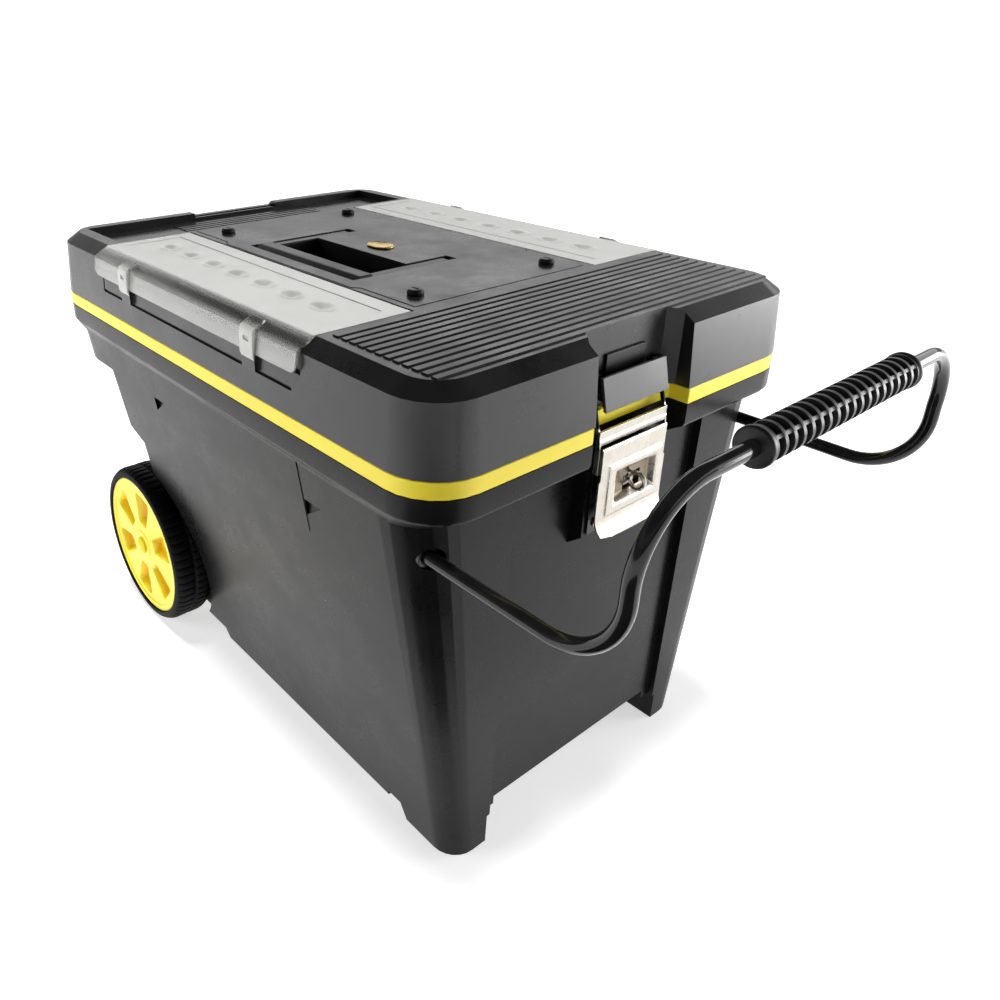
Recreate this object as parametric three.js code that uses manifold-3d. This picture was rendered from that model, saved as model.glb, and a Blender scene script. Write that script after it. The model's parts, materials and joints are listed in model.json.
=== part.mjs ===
// A wheeled tool chest: tapered plastic tub, hinged organiser lid, draw latch, sliding pull handle.
// Millimetres. +X towards the latch end, -Y the left long side, +Z up. The floor is z = 0.
import * as THREE from "three";
import { mergeVertices } from "three/addons/utils/BufferGeometryUtils.js";
import Module from "manifold-3d";

const wasm = await Module();
wasm.setup();

// ---- driving dimensions -------------------------------------------------------------------
const GAP = 0.3; // running gap between pieces that touch

const RIM = { hx: 290, hy: 200.5, r: 41 }; // plan of the band and of the chest rim
const NOTCH = { half: 54, back: 273 }; // latch notch in the rim, band and lid
const TUB = {
  foot: { hx: 267.4, hy: 147.6, r: 22, z: 0 },
  top: { hx: 273.2, hy: 198.6, r: 38, z: 345 },
  wall: 4,
  sideBottom: 12,
  floorTop: 18,
  rimBottom: 332,
  rimTop: 350,
};
const STEP = { shelfZ: 293, wallX: -198, ledgeZ: 222, lowerX: -168 }; // stepped rear of the tub
const PANEL = { half: 108, depth: 6, top: 322 }; // recessed front panel
const UNDER = { feetHalf: 111, stepZ: 28, panelHalf: 98, panelZ: 36, rearX: -72, rearZ: 23 }; // underside
const BAND = { bottom: 350.3, top: 362.7, thick: 8 };

const LID = {
  bottom: 363,
  shoulder: 412,
  top: 421,
  wall: 3.5,
  shoulderIn: 3.5,
  topIn: 16,
  notchBack: 268,
};
const WELL = { x0: -178, x1: 158, in: 101, out: 186, floor: 377 }; // organiser wells in the lid
const PLATE = {
  x0: -180,
  x1: 152,
  half: 93,
  bulge: 98,
  bulgeX0: -112,
  bulgeX1: 82,
  z0: 418.2,
  z1: 421.4,
};
const CARRY = { x0: -89, x1: 65, barOut: -82, barIn: -58, pivotY: 20, pivotZ: 415, arm: 10 };

const HINGE = { x: -298, z: 356.5, r: 6, pin: 2.4 };
const WHEEL = { x: -192.5, z: 87.5, r: 87.5, hub: 77.5, out: 189, in: 148, axle: 6, arch: 97 };
const PULL = { y: 175, z: 298, bendX: 361, bend: 49, riserTop: 357, tube: 5, inner: -30 };
const GRIP = { x: 414, z: 406, r: 12, half: 88 };
const LATCH = {
  half: 38,
  baseX: 277.8,
  plateX: 284.5,
  bailX: 281.5,
  pinX: 281.8,
  leverZ: 334,
  bailPinX: 282.2,
  bailZ: 322,
};
const CLIPS = [-110, 99]; // along each organiser cover

const FRONT_X = GRIP.x + GRIP.r;
const REAR_X = HINGE.x - HINGE.r;
const SHIFT_X = -(FRONT_X + REAR_X) / 2;

// ---- solid helpers ------------------------------------------------------------------------
const lerp = (a, b, t) => a + (b - a) * t;

function solid(geometry) {
  const bare = geometry.clone();
  bare.deleteAttribute("normal");
  bare.deleteAttribute("uv");
  const merged = mergeVertices(bare, 1e-4);
  return new wasm.Manifold(
    new wasm.Mesh({
      numProp: 3,
      vertProperties: new Float32Array(merged.attributes.position.array),
      triVerts: new Uint32Array(merged.index.array),
    }),
  );
}

function union(list) {
  return list.reduce((a, b) => a.add(b));
}

function cut(base, tools) {
  return tools.reduce((a, b) => a.subtract(b), base);
}

function box(x0, x1, y0, y1, z0, z1) {
  const g = new THREE.BoxGeometry(x1 - x0, y1 - y0, z1 - z0);
  g.translate((x0 + x1) / 2, (y0 + y1) / 2, (z0 + z1) / 2);
  return solid(g);
}

// A polygon in one plane swept straight along the remaining axis, from `a` to `b`.
function prism(axis, points, a, b) {
  const shape = new THREE.Shape(points.map(([u, v]) => new THREE.Vector2(u, v)));
  const g = new THREE.ExtrudeGeometry(shape, { depth: b - a, bevelEnabled: false });
  const basis = {
    x: [new THREE.Vector3(0, 1, 0), new THREE.Vector3(0, 0, 1), new THREE.Vector3(1, 0, 0)],
    y: [new THREE.Vector3(0, 0, 1), new THREE.Vector3(1, 0, 0), new THREE.Vector3(0, 1, 0)],
    z: [new THREE.Vector3(1, 0, 0), new THREE.Vector3(0, 1, 0), new THREE.Vector3(0, 0, 1)],
  }[axis];
  g.translate(0, 0, a);
  g.applyMatrix4(new THREE.Matrix4().makeBasis(...basis));
  return solid(g);
}

// Same, for a side profile given as [x, z] pairs.
function sideProfile(points, y0, y1) {
  return prism("y", points.map(([x, z]) => [z, x]), y0, y1);
}

function rod(axis, centre, radius, from, to, sides = 24) {
  const g = new THREE.CylinderGeometry(radius, radius, to - from, sides);
  if (axis === "z") g.rotateX(Math.PI / 2);
  if (axis === "x") g.rotateZ(-Math.PI / 2);
  const mid = (from + to) / 2;
  const [u, v] = centre;
  const at = { x: [mid, u, v], y: [u, mid, v], z: [u, v, mid] }[axis];
  g.translate(...at);
  return solid(g);
}

// Rounded rectangle, counter-clockwise from the middle of the +X side.
function roundedPlan({ hx, hy, r }, steps = 6) {
  const corners = [
    [hx - r, hy - r, 0],
    [-(hx - r), hy - r, 90],
    [-(hx - r), -(hy - r), 180],
    [hx - r, -(hy - r), 270],
  ];
  return corners.flatMap(([cx, cy, start]) =>
    Array.from({ length: steps + 1 }, (_, i) => {
      const a = THREE.MathUtils.degToRad(start + (90 * i) / steps);
      return [cx + r * Math.cos(a), cy + r * Math.sin(a)];
    }),
  );
}

function inset({ hx, hy, r, z }, by) {
  return { hx: hx - by, hy: hy - by, r: Math.max(r - by, 4), z };
}

// A closed body through level rounded plans, lowest first.
function loft(levels, steps = 6) {
  const rings = levels.map((level) => roundedPlan(level, steps).map(([x, y]) => [x, y, level.z]));
  const count = rings[0].length;
  const positions = rings.flat(2);
  const index = [];
  for (let k = 0; k + 1 < rings.length; k += 1) {
    for (let i = 0; i < count; i += 1) {
      const a = k * count + i;
      const b = k * count + ((i + 1) % count);
      index.push(a, b, b + count, a, b + count, a + count);
    }
  }
  const last = (rings.length - 1) * count;
  for (let i = 1; i + 1 < count; i += 1) {
    index.push(0, i + 1, i, last, last + i, last + i + 1);
  }
  const g = new THREE.BufferGeometry();
  g.setAttribute("position", new THREE.Float32BufferAttribute(positions, 3));
  g.setIndex(index);
  return solid(g);
}

// The rim's plan with the latch notch cut into its +X side.
function notchedPlan(by) {
  const plan = roundedPlan(inset({ ...RIM, z: 0 }, by));
  const half = NOTCH.half + by;
  const back = NOTCH.back - by;
  return [
    [back, half],
    [RIM.hx - by, half],
    ...plan.slice(0, -1),
    plan[plan.length - 1],
    [RIM.hx - by, -half],
    [back, -half],
  ];
}

// A profile of [radius, y] pairs turned about the Y axis through (x, z).
function turned(profile, x, z, sides = 48) {
  const loop = [...profile, profile[0]].map(([r, y]) => new THREE.Vector2(r, y));
  const g = new THREE.LatheGeometry(loop, sides);
  g.translate(x, 0, z);
  const body = solid(g);
  return body.volume() < 0 ? solid(flipped(g)) : body;
}

function flipped(geometry) {
  const g = geometry.clone();
  const order = Array.from(g.index.array);
  for (let i = 0; i < order.length; i += 3) {
    [order[i + 1], order[i + 2]] = [order[i + 2], order[i + 1]];
  }
  g.setIndex(order);
  return g;
}

// A round bar that follows a list of points, closed at both ends.
function bar(points, radius, sides = 16) {
  const path = points.map((p) => new THREE.Vector3(...p));
  const tangents = path.map((p, i) => {
    const before = path[Math.max(i - 1, 0)];
    const after = path[Math.min(i + 1, path.length - 1)];
    return after.clone().sub(before).normalize();
  });
  let side = new THREE.Vector3(0, 0, 1);
  if (Math.abs(side.dot(tangents[0])) > 0.9) side.set(1, 0, 0);
  const positions = [];
  path.forEach((p, i) => {
    const t = tangents[i];
    side = side.clone().sub(t.clone().multiplyScalar(side.dot(t))).normalize();
    const up = t.clone().cross(side);
    for (let k = 0; k < sides; k += 1) {
      const a = (2 * Math.PI * k) / sides;
      const q = p.clone().addScaledVector(side, radius * Math.cos(a));
      q.addScaledVector(up, radius * Math.sin(a));
      positions.push(q.x, q.y, q.z);
    }
  });
  const index = [];
  for (let i = 0; i + 1 < path.length; i += 1) {
    for (let k = 0; k < sides; k += 1) {
      const a = i * sides + k;
      const b = i * sides + ((k + 1) % sides);
      index.push(a, b, b + sides, a, b + sides, a + sides);
    }
  }
  const last = (path.length - 1) * sides;
  for (let k = 1; k + 1 < sides; k += 1) {
    index.push(0, k + 1, k, last, last + k, last + k + 1);
  }
  const g = new THREE.BufferGeometry();
  g.setAttribute("position", new THREE.Float32BufferAttribute(positions, 3));
  g.setIndex(index);
  return solid(g);
}

function arc(steps, at) {
  return Array.from({ length: steps + 1 }, (_, i) => at((Math.PI / 2) * (i / steps)));
}

// ---- scene graph and materials ---------------------------------------------------------------
const chest = new THREE.Group();
chest.position.x = SHIFT_X;

const LOOKS = {
  darkPlastic: { color: 0x3d3e40, roughness: 0.5, metalness: 0 },
  blackPlastic: { color: 0x17181a, roughness: 0.45, metalness: 0 },
  yellowPlastic: { color: 0xf3cf1c, roughness: 0.4, metalness: 0 },
  clearPlastic: { color: 0xd6d5d0, roughness: 0.25, metalness: 0 },
  trayPlastic: { color: 0x2b2c2e, roughness: 0.55, metalness: 0 },
  blackSteel: { color: 0x0d0d0e, roughness: 0.18, metalness: 0.2 },
  brightSteel: { color: 0xd4d0c6, roughness: 0.25, metalness: 1 },
  rubber: { color: 0x131314, roughness: 0.75, metalness: 0 },
  gold: { color: 0xb58a2b, roughness: 0.35, metalness: 0.8 },
};

function assembly() {
  const group = new THREE.Group();
  chest.add(group);
  return group;
}

function piece(parent, name, look, body) {
  const mesh = body.getMesh();
  const g = new THREE.BufferGeometry();
  g.setAttribute("position", new THREE.Float32BufferAttribute(Array.from(mesh.vertProperties), 3));
  g.setIndex(Array.from(mesh.triVerts));
  g.computeVertexNormals();
  const node = new THREE.Mesh(g, new THREE.MeshStandardMaterial(LOOKS[look]));
  node.name = name;
  parent.add(node);
}

// Makes a piece on the left (-Y) side and its mirror image on the right.
function pair(parent, name, look, make) {
  piece(parent, `${name}_left`, look, make(-1));
  piece(parent, `${name}_right`, look, make(1));
}

// Orders a mirrored span so that the smaller value comes first.
const span = (side, a, b) => (side < 0 ? [-b, -a] : [a, b]);

// ---- tub ----------------------------------------------------------------------------------
function tubLevel(z, by = 0) {
  const { foot, top } = TUB;
  const t = z / top.z;
  const hx = lerp(foot.hx, top.hx, t);
  const hy = lerp(foot.hy, top.hy, t);
  return inset({ hx, hy, r: lerp(foot.r, top.r, t), z }, by);
}

// What the stepped rear removes, grown forwards and upwards by `by`.
function rearStep(by) {
  const { shelfZ, wallX, ledgeZ, lowerX } = STEP;
  return sideProfile(
    [
      [-340, shelfZ + by],
      [wallX + by, shelfZ + by],
      [wallX + 4 + by, ledgeZ + 8 + by],
      [lowerX + by, ledgeZ - 3 + by],
      [lowerX + by, -10],
      [-340, -10],
    ],
    -260,
    260,
  );
}

function frontRecess(by) {
  const back = tubLevel(0).hx - PANEL.depth - by;
  const lean = (tubLevel(PANEL.top).hx - tubLevel(0).hx) * 0.9;
  const half = PANEL.half + by;
  return sideProfile([[back, -5], [320, -5], [320, PANEL.top], [back + lean, PANEL.top]], -half, half);
}

function wheelArches(by) {
  const inner = WHEEL.in - 5 - by;
  return [-1, 1].map((s) => rod("y", [WHEEL.x, WHEEL.z], WHEEL.arch + by, ...span(s, inner, 230), 32));
}

function sideFairing(s) {
  const wall = (z, proud) => [tubLevel(z).hy + proud, z];
  const outside = [wall(264, 0), wall(267, 0.5), wall(320, 0.5), [197.8, 334], [197.8, 336]];
  const profile = [wall(264, -3), ...outside, wall(336, -14)];
  return prism("x", profile.map(([y, z]) => [s * y, z]), -102, 144.5);
}

// A three-cornered pocket under each end of the fairing, with a fine vertical line above it.
function gripNotch(s, x) {
  const depth = span(s, tubLevel(288).hy - 2.6, 230);
  const pocket = sideProfile([[x, 281], [x + 0.6, 295], [x + 21, 295]], ...depth);
  const bed = [tubLevel(294).hy - 0.4, 294];
  const line = [bed, [230, 294], [230, 326], [tubLevel(326).hy - 0.4, 326]];
  return union([pocket, prism("x", line.map(([y, z]) => [s * y, z]), x - 0.8, x)]);
}

function armBlock(s, x0, x1) {
  const [y0, y1] = span(s, PULL.y - 11, PULL.y + 13);
  return box(x0, x1, y0, y1, PULL.z - 11, PULL.z + 11);
}

function axleBracket(s) {
  const [y0, y1] = span(s, 128, 146);
  const outline = [[-150, 136], [-176, 136], [-204, 112], [-204, 66], [-190, 58], [-150, 40]];
  const plate = sideProfile(outline, y0, y1);
  return cut(plate, [rod("y", [WHEEL.x, WHEEL.z], WHEEL.axle + GAP, y0 - 1, y1 + 1)]);
}

function tubKnuckles(s) {
  const { x, z, r } = HINGE;
  const leaf = [[x - r, z], [x + 5.9, z], [x + 5.9, 349.5], [-288, 349.5], [-288, 334], [x - 1, 334]];
  return [80, 122].map((from) => {
    const [y0, y1] = span(s, from, from + 18);
    return union([
      rod("y", [x, z], r, y0, y1, 20),
      sideProfile(leaf, y0, y1),
    ]);
  });
}

function hingeBores(extra) {
  return [-1, 1].map((s) => rod("y", [HINGE.x, HINGE.z], HINGE.pin + extra, ...span(s, 60, 160), 20));
}

function tub() {
  const { wall, rimBottom, rimTop, sideBottom, floorTop } = TUB;
  const { feetHalf, stepZ, panelHalf, panelZ, rearX, rearZ } = UNDER;
  const rimLevel = { ...RIM, z: rimBottom };
  const rim = cut(
    loft([
      { ...inset(tubLevel(322), 1), z: 322 },
      { ...inset(rimLevel, 1.5), z: rimBottom },
      { ...RIM, z: rimBottom + 3 },
      { ...RIM, z: rimTop },
    ]),
    [box(NOTCH.back, 320, -NOTCH.half, NOTCH.half, 300, 400)],
  );
  const boss = sideProfile([[262, 254], [277.5, 266], [277.5, 328], [262, 331.5]], -40, 40);
  let outer = union([loft([tubLevel(0), tubLevel(rimTop - 4)]), rim, sideFairing(-1), sideFairing(1)]);
  outer = cut(outer, [rearStep(0), frontRecess(0), ...wheelArches(0)]);
  outer = cut(outer, [
    box(-300, 206, -300, 300, -20, sideBottom),
    sideProfile([[-340, -20], [-340, rearZ], [rearX - 12, rearZ], [rearX, 0], [rearX, -20]], -300, 300),
    box(206, 340, -feetHalf, feetHalf, -20, stepZ),
    box(206, 340, -panelHalf, panelHalf, -20, panelZ),
    sideProfile([[190, -20], [190, sideBottom + 5], [206, sideBottom + 5], [218, -20]], -300, 300),
    ...[-1, 1].flatMap((s) => [gripNotch(s, -101.5), gripNotch(s, 145)]),
  ]);
  outer = union([outer, boss]);
  let inner = loft([{ ...tubLevel(floorTop, wall) }, { ...tubLevel(rimTop + 1, wall) }]);
  inner = cut(inner, [rearStep(wall), frontRecess(wall), ...wheelArches(wall)]);
  inner = cut(inner, [
    box(206 - wall, 300, -feetHalf - wall, feetHalf + wall, 0, stepZ + wall),
    box(206 - wall, 300, -panelHalf - wall, panelHalf + wall, 0, panelZ + wall),
    box(-300, rearX + wall, -300, 300, 0, rearZ + wall),
    box(186, 222, -300, 300, 0, sideBottom + 9),
    ...[-1, 1].flatMap((s) => [armBlock(s, 226, 262), armBlock(s, 60, 76)]),
    box(250, 300, -90, 90, 312, 318),
    box(-300, -250, -120, 120, 312, 318),
    ...wallRibs(),
  ]);
  let body = cut(outer, [inner]);
  body = union([body, ...[-1, 1].flatMap((s) => [axleBracket(s), ...tubKnuckles(s)])]);
  return cut(body, [
    ...[-1, 1].map((s) => rod("x", [s * PULL.y, PULL.z], 8.4, 40, 310, 24)),
    ...hingeBores(GAP),
  ]);
}

// Inner stiffening ribs down the long walls, left standing when the cavity is taken out.
function wallRibs() {
  return [-1, 1].flatMap((s) =>
    [-90, 0, 130].map((x) => {
      const profile = [[s * 137, 10], [s * 152, 10], [s * 196, 270], [s * 180, 270]];
      return prism("x", profile, x - 2, x + 2);
    }),
  );
}

const body = assembly();
piece(body, "chest_tub", "darkPlastic", tub());

// ---- seal band ----------------------------------------------------------------------------
function ring(outerPlan, innerPlan, z0, z1) {
  const shape = new THREE.Shape(outerPlan.map(([x, y]) => new THREE.Vector2(x, y)));
  shape.holes.push(new THREE.Path(innerPlan.map(([x, y]) => new THREE.Vector2(x, y))));
  const g = new THREE.ExtrudeGeometry(shape, { depth: z1 - z0, bevelEnabled: false });
  g.translate(0, 0, z0);
  return solid(g);
}

const bandRing = ring(notchedPlan(0), notchedPlan(BAND.thick), BAND.bottom, BAND.top);
piece(body, "seal_band", "yellowPlastic", bandRing);

// ---- lid ----------------------------------------------------------------------------------
const lidLevels = (by, topZ) => [
  { ...inset({ ...RIM, z: 0 }, by), z: LID.bottom },
  { ...inset({ ...RIM, z: 0 }, LID.shoulderIn + by), z: LID.shoulder },
  { ...inset({ ...RIM, z: 0 }, LID.topIn + by), z: topZ },
];

// The stepped outer corner of the lid that each clear cover closes.
function coverSeat(s) {
  const profile = [[183, 430], [183, 418.2], [194.6, 411.4], [194.6, 396.4], [215, 396.4], [215, 430]];
  return prism("x", profile.map(([y, z]) => [s * y, z]), WELL.x0 - 0.6, WELL.x1 + 0.6);
}

function platePlan(by) {
  const { x0, x1, half, bulge, bulgeX0, bulgeX1 } = PLATE;
  const upper = [
    [x1 - by, half - by],
    [bulgeX1 + 6 - by, half - by],
    [bulgeX1 - by, bulge - by],
    [bulgeX0 + by, bulge - by],
    [bulgeX0 - 6 + by, half - by],
    [x0 + by, half - by],
  ];
  const lower = upper.map(([x, y]) => [x, -y]).reverse();
  return [...upper, ...lower];
}

// The U-shaped pocket that the carrying handle folds into.
function carryPocket(by, z0, z1) {
  const { x0, x1, barOut, pivotY, arm } = CARRY;
  const end = pivotY + 8 + by;
  return union([
    box(x0 - 2 - by, x1 + 2 + by, barOut - 3 - by, -18 + by, z0, z1),
    box(x0 - 2 - by, x0 + arm + 2 + by, barOut, end, z0, z1),
    box(x1 - arm - 2 - by, x1 + 2 + by, barOut, end, z0, z1),
  ]);
}

function lidKnuckle(s) {
  const { x, z, r } = HINGE;
  const [y0, y1] = span(s, 98.6, 121.4);
  const leaf = [[x - r, z], [x + 2, z], [x + 6, 363.4], [-286, 363.4], [-286, 374], [x, 374]];
  return union([rod("y", [x, z], r, y0, y1, 20), sideProfile(leaf, y0, y1)]);
}

function ridges(x0, count, pitch, y0, y1, z0, z1) {
  return Array.from({ length: count }, (_, i) => {
    const x = x0 + i * pitch;
    const section = [[x, z0], [x + pitch * 0.88, z0], [x + pitch * 0.74, z1], [x + pitch * 0.14, z1]];
    return sideProfile(section, y0, y1);
  });
}

function sideGroove(s) {
  const [y0, y1] = span(s, 197.2, 215);
  const along = box(WELL.x0 + 12, WELL.x1 - 10, y0, y1, 382.2, 384.8);
  return union([along, box(WELL.x0 + 9.6, WELL.x0 + 12.1, y0, y1, 382.2, 397)]);
}

// Catches under the cover that the two clips snap over.
function clipCatches(s) {
  return CLIPS.map((x) => box(x - 11, x + 7, ...span(s, 196, 201.8), 384, 395.4));
}

function lidShell() {
  const rear = { x0: -262, x1: WELL.x0 - 6, half: 172, floor: 412.5 };
  const notchTool = (by) => {
    const half = NOTCH.half - 1 + by;
    const back = LID.notchBack - by;
    const plan = [[back, -half + 8], [back + 10, -half], [330, -half], [330, half], [back + 10, half],
      [back, half - 8]];
    return prism("z", plan, 340, 440);
  };
  let outer = cut(loft(lidLevels(0, LID.top)), [
    notchTool(0),
    box(rear.x0, rear.x1, -rear.half, rear.half, rear.floor, 440),
    box(-300, rear.x0 + 1, -52, 52, 416.5, 440),
  ]);
  outer = union([
    outer,
    ...ridges(165, 12, 8.8, -176, 176, LID.top - 0.4, LID.top + 1.1),
    ...ridges(rear.x0 + 10, 7, 8.4, -84, 84, rear.floor - 0.4, rear.floor + 1),
  ]);
  outer = cut(outer, [notchTool(0)]);
  const wellBlocks = [-1, 1].map((s) =>
    box(WELL.x0 - 3, WELL.x1 + 3, ...span(s, WELL.in - 3, WELL.out + 3), WELL.floor - 3, 430));
  const [edge, shoulder, crown] = lidLevels(LID.wall, LID.top - LID.wall);
  const hollow = loft([{ ...edge, z: LID.bottom - 1 }, { ...shoulder, z: LID.shoulder - 2 }, crown]);
  const cavity = cut(hollow, [
    notchTool(LID.wall),
    box(rear.x0 - LID.wall, rear.x1 + LID.wall, -180, 180, rear.floor - 3, 440),
    box(PLATE.x0 - 3, PLATE.x1 + 3, -PLATE.bulge - 3, PLATE.bulge + 3, PLATE.z0 - 3.4, 440),
    carryPocket(3, 400, 440),
    box(-87, 58, -64, -14, 384, 440),
    ...wellBlocks,
  ]);
  const hollowed = union([cut(outer, [cavity]), lidKnuckle(-1), lidKnuckle(1)]);
  const wells = [-1, 1].map((s) =>
    box(WELL.x0, WELL.x1, ...span(s, WELL.in, WELL.out), WELL.floor, 430));
  const seats = [-1, 1].flatMap((s) => [
    coverSeat(s),
    box(WELL.x0 - 0.6, WELL.x1 + 0.6, ...span(s, WELL.in - 1.6, 184), 417.9, 440),
    sideGroove(s),
  ]);
  const shell = cut(hollowed, [
    ...wells,
    ...seats,
    prism("z", platePlan(-0.5), PLATE.z0 - GAP, 440),
    carryPocket(0, 404, 440),
    box(-84, 55, -61, -17, 388, 440),
    ...hingeBores(GAP),
  ]);
  return union([shell, ...clipCatches(-1), ...clipCatches(1)]);
}

const lid = assembly();
piece(lid, "lid_shell", "darkPlastic", lidShell());

pair(body, "hinge_pin", "brightSteel", (s) =>
  rod("y", [HINGE.x, HINGE.z], HINGE.pin, ...span(s, 80.5, 139.5), 20));

// ---- top plate, carrying handle, badge ------------------------------------------------------
const SCREWS = [[-152, -73], [-152, 73], [129, -73], [129, 73]];

function topPlate() {
  const plate = prism("z", platePlan(0), PLATE.z0, PLATE.z1);
  return cut(plate, [
    carryPocket(-0.6, 410, 430),
    ...SCREWS.map(([x, y]) => rod("z", [x, y], 3.2, 410, 430, 20)),
  ]);
}

piece(lid, "top_plate", "darkPlastic", topPlate());

SCREWS.forEach(([x, y], i) => {
  const seat = PLATE.z1 + GAP;
  const profile = [[0, 418.6], [2.7, 418.6], [2.7, seat], [6.6, seat], [6.8, 424], [5.4, 426.2], [0, 426.6]];
  const head = turned(profile, 0, 0, 16).rotate([90, 0, 0]).translate([x, y, 0]);
  const slot = box(x - 4, x + 4, y - 0.8, y + 0.8, 425, 430);
  piece(lid, `plate_screw_${i + 1}`, "blackPlastic", cut(head, [slot]));
});

function carryHandle() {
  const { x0, x1, barOut, barIn, pivotY, pivotZ, arm } = CARRY;
  const lower = [[barOut, 413], [barOut + 4, 409], [barIn - 4, 409], [barIn, 413]];
  const upper = [[barIn, 418], [barIn - 6, 422.6], [barOut + 6, 422.6], [barOut, 418]];
  const handle = union([
    prism("x", [...lower, ...upper], x0, x1),
    ...[x0, x1 - arm].flatMap((x) => [
      box(x, x + arm, barOut + 8, pivotY, 410.5, 420.6),
      rod("x", [pivotY, pivotZ + 0.4], 5.2, x, x + arm, 24),
    ]),
  ]);
  return cut(handle, [rod("x", [pivotY, pivotZ], 2.3, x0 - 1, x1 + 1, 20)]);
}

piece(lid, "carry_handle", "blackPlastic", carryHandle());

[CARRY.x0, CARRY.x1 - CARRY.arm].forEach((x, i) => {
  const name = i === 0 ? "carry_pivot_rear" : "carry_pivot_front";
  const pivot = rod("x", [CARRY.pivotY, CARRY.pivotZ], 2, x - 1.6, x + CARRY.arm + 1.6, 20);
  piece(lid, name, "brightSteel", pivot);
});

const badge = new THREE.CylinderGeometry(1, 1, 1.4, 36);
badge.rotateX(Math.PI / 2);
badge.scale(15, 10.5, 1);
badge.translate(-11, 5, PLATE.z1 + GAP + 0.7);
piece(lid, "badge", "gold", solid(badge));

// ---- organiser covers -----------------------------------------------------------------------
function cover(s) {
  const { x0, x1 } = WELL;
  const section = [
    [102, 421.2], [186.5, 421.2], [199.6, 413.6], [201.6, 397], [199.6, 397], [197.6, 412.6], [185.6, 419.1],
    [102, 419.1],
  ];
  const shell = prism("x", section.map(([y, z]) => [s * y, z]), x0, x1);
  const dimples = Array.from({ length: 7 }, (_, i) =>
    rod("z", [-132 + i * 40.2, s * 144.7], 12, 420.7, 425, 16));
  const seam = [
    box(x0 + 14, x1 - 14, ...span(s, 117.4, 118.8), 420.6, 425),
    box(x0 + 12, x0 + 13.4, ...span(s, 117.4, 172), 420.6, 425),
  ];
  return cut(shell, [...dimples, ...seam]);
}

pair(lid, "cover", "clearPlastic", cover);

function coverClip(s, x) {
  const upper = [[191.5, 419.1], [192.4, 421], [202.2, 415.6]];
  const lower = [[203.6, 412.4], [204.2, 396], [202.6, 392.5]];
  const profile = [...upper, ...lower, [202.2, 397.6], [200.3, 414.1]];
  const clip = prism("x", profile.map(([y, z]) => [s * y, z]), x - 9, x + 9);
  return cut(clip, [box(x - 3.5, x + 3.5, ...span(s, 202.2, 210), 406, 409.4)]);
}

[-1, 1].forEach((s) => {
  const side = s < 0 ? "left" : "right";
  CLIPS.forEach((x, i) => piece(lid, `cover_clip_${side}_${i + 1}`, "clearPlastic", coverClip(s, x)));
});

// Drop-in comb of thin walls that splits an organiser well into bins.
function binDivider(s) {
  const ends = span(s, WELL.in + 1.5, WELL.out - 1.5);
  const base = box(WELL.x0 + 2, WELL.x1 - 2, ...ends, WELL.floor + GAP, WELL.floor + 1.8);
  const walls = Array.from({ length: 6 }, (_, i) => {
    const x = WELL.x0 + (i + 1) * 48;
    return box(x - 1, x + 1, ...ends, WELL.floor + GAP, 407);
  });
  return union([base, ...walls]);
}

pair(lid, "bin_divider", "trayPlastic", binDivider);

// ---- draw latch -----------------------------------------------------------------------------
const latch = assembly();

// A wide lip that leans back over two side hooks, on a narrower stem bolted to the lid's notch.
function latchKeeper() {
  const lip = sideProfile([[281.8, 366], [284.4, 366], [278.8, 390], [276.2, 389.4]], -35.6, 35.6);
  const stem = [[268.3, 366], [283.4, 366], [282.2, 371.4], [270.3, 371.4], [270.3, 401], [268.3, 401]];
  return union([lip, sideProfile(stem, -22, 22)]);
}

piece(latch, "latch_keeper", "blackPlastic", latchKeeper());

const RIVETS = [[-28, 276], [28, 276], [-24, 312], [24, 312]];

function latchBase() {
  const { baseX, pinX, leverZ } = LATCH;
  const plate = box(baseX, baseX + 1.4, -36, 36, 268, 329);
  const cheek = [[0.2, 322], [0.2, 331], [2, 335], [3.2, 336.2], [4.9, 336.2], [6.1, 334.8], [6.1, 330],
    [2.2, 322]];
  const cheeks = [-1, 1].map((s) =>
    sideProfile(cheek.map(([x, z]) => [baseX + x, z]), ...span(s, 33, 34.4)));
  const bores = [-1, 1].map((s) => rod("y", [pinX, leverZ], 1.8, ...span(s, 32, 36), 16));
  const rivetHoles = RIVETS.map(([y, z]) => rod("x", [y, z], 2.3, baseX - 4, baseX + 4, 16));
  const eyeSlot = box(baseX - 4, baseX + 4, -3, 11, 301.6, 304.4);
  return cut(union([plate, ...cheeks]), [...bores, ...rivetHoles, eyeSlot]);
}

piece(latch, "latch_base", "blackSteel", latchBase());
RIVETS.forEach(([y, z], i) => {
  const { baseX } = LATCH;
  const shank = rod("x", [y, z], 2, baseX, baseX + 1.8, 16);
  const head = rod("x", [y, z], 3.4, baseX + 1.7, baseX + 2.9, 16);
  piece(latch, `latch_rivet_${i + 1}`, "brightSteel", union([shank, head]));
});

// Padlock eye: a ring on a short foot that stands out through the lever's window.
function padlockEye() {
  const { baseX } = LATCH;
  const eye = new THREE.TorusGeometry(6.4, 1.7, 8, 20);
  eye.rotateX(Math.PI / 2);
  eye.translate(288.8, 4, 303);
  const foot = box(baseX + 0.2, baseX + 6, 2.4, 5.6, 301.9, 304.1);
  const flange = box(baseX + 1.7, baseX + 3.2, -1, 9, 298, 308);
  return union([solid(eye), foot, flange]);
}

piece(latch, "padlock_eye", "brightSteel", padlockEye());

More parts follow.
